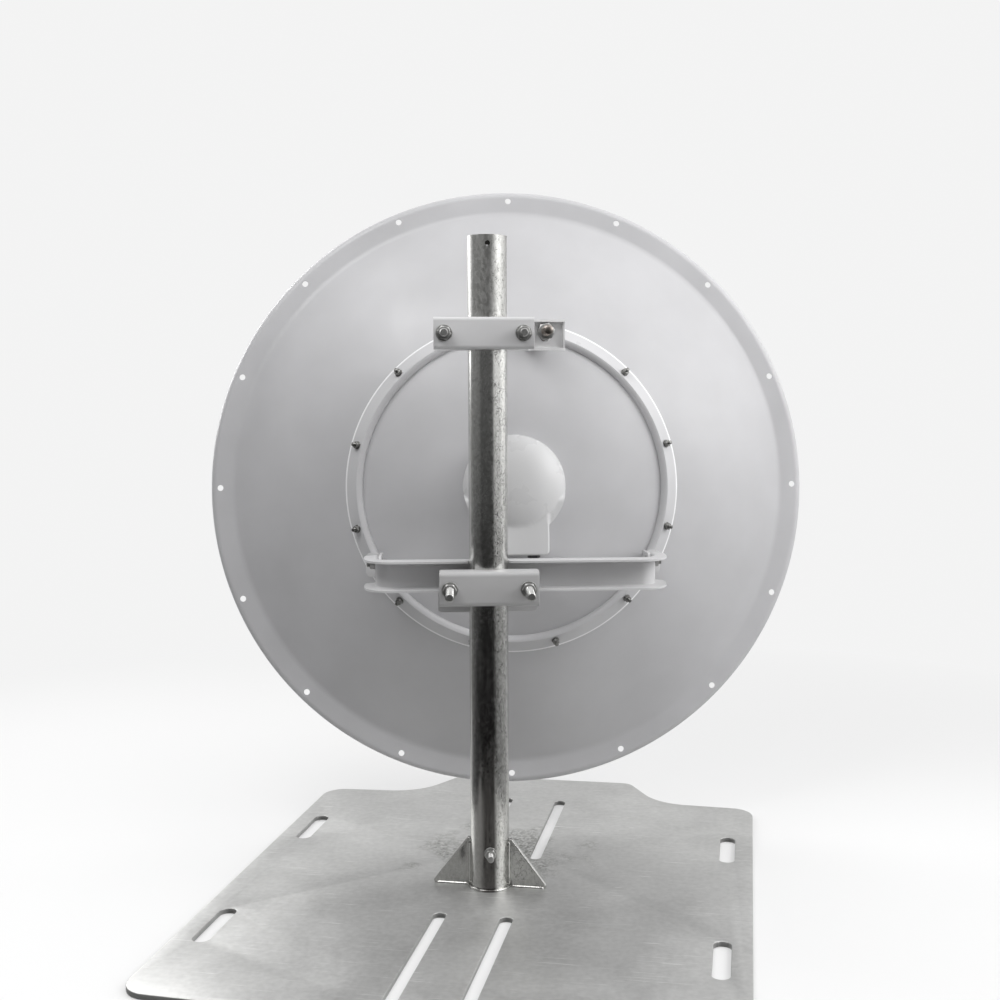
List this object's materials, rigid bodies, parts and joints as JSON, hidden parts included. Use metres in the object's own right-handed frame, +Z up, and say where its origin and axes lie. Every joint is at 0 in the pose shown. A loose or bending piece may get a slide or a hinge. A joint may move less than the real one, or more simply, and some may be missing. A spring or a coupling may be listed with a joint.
{
  "type": "microwave dish antenna on a mast stand",
  "caption": "Parabolic dish antenna with a pressed mounting ring, clamped to a tube mast that stands on a slotted steel floor plate, with azimuth and elevation adjustment.",
  "frame": {"origin": "on the floor under the axis of the mast, in the underside of the floor plate", "axes": "+Z up along the mast, X and Y along the sides of the floor plate; the dish looks 13 degrees to the left of +Y in plan"},
  "size_m": [1.2803, 1.39, 1.4245],
  "materials": {
    "dish_paint": "light grey-white powder coat, slightly satin",
    "bracket_paint": "light grey-white powder coat on steel",
    "cover_paint": "light grey paint, satin",
    "galvanised": "hot-dip galvanised with spangle and streaks",
    "plate_steel": "galvanised sheet, scuffed and scratched",
    "zinc_fastener": "zinc plated, slightly dull",
    "feed_metal": "plain turned aluminium",
    "black_plastic": "matt black"
  },
  "bodies": {
    "stand": {"base_plate": "plate_steel", "mast_pipe": "galvanised", "foot_gusset_left": "galvanised", "foot_gusset_right": "galvanised", "foot_bolt": "zinc_fastener"},
    "mount": {"upper_clamp_front": "bracket_paint", "upper_clamp_rear": "bracket_paint", "upper_clamp_bolt_left": "zinc_fastener", "upper_clamp_bolt_right": "zinc_fastener", "lower_clamp_front": "bracket_paint", "lower_clamp_rear": "bracket_paint", "lower_clamp_stud_left": "zinc_fastener", "lower_clamp_stud_right": "zinc_fastener", "cross_member": "bracket_paint", "pivot_bolt_left": "zinc_fastener", "pivot_bolt_right": "zinc_fastener"},
    "dish": {"reflector": "dish_paint", "mount_ring": "dish_paint", "pivot_lug_left": "bracket_paint", "pivot_lug_right": "bracket_paint", "rod_bracket": "bracket_paint", "elevation_rod": "zinc_fastener", "feed_cover": "cover_paint", "cable_gland": "black_plastic", "feed_tube": "feed_metal", "feed_head": "dish_paint", "ring_screw_01": "zinc_fastener", "ring_screw_02": "zinc_fastener", "ring_screw_03": "zinc_fastener", "ring_screw_04": "zinc_fastener", "ring_screw_05": "zinc_fastener", "ring_screw_06": "zinc_fastener", "ring_screw_07": "zinc_fastener", "ring_screw_08": "zinc_fastener", "ring_screw_09": "zinc_fastener", "ring_screw_10": "zinc_fastener", "ring_screw_11": "zinc_fastener", "ring_screw_12": "zinc_fastener"},
    "elevation_nuts": {"elevation_nut_front": "zinc_fastener", "elevation_nut_rear": "zinc_fastener"}
  },
  "joints": [
    {"name": "azimuth", "type": "hinge", "parent": "stand", "child": "mount", "pos_m": [0, 0, 0.6], "axis": [0, 0, 1], "continuous": true},
    {"name": "elevation", "type": "hinge", "parent": "mount", "child": "dish", "pos_m": [0.03034, 0.12195, 0.6335], "axis": [0.9744, 0.225, 0], "range_deg": [-1, 6]},
    {"name": "nut_travel", "type": "slide", "parent": "dish", "child": "elevation_nuts", "axis": [-0.225, 0.9744, 0], "range_m": [-0.01, 0.051]}
  ],
  "couplings": [
    {"joint": "nut_travel", "follows": "elevation", "m_per_rad": 0.4655}
  ]
}
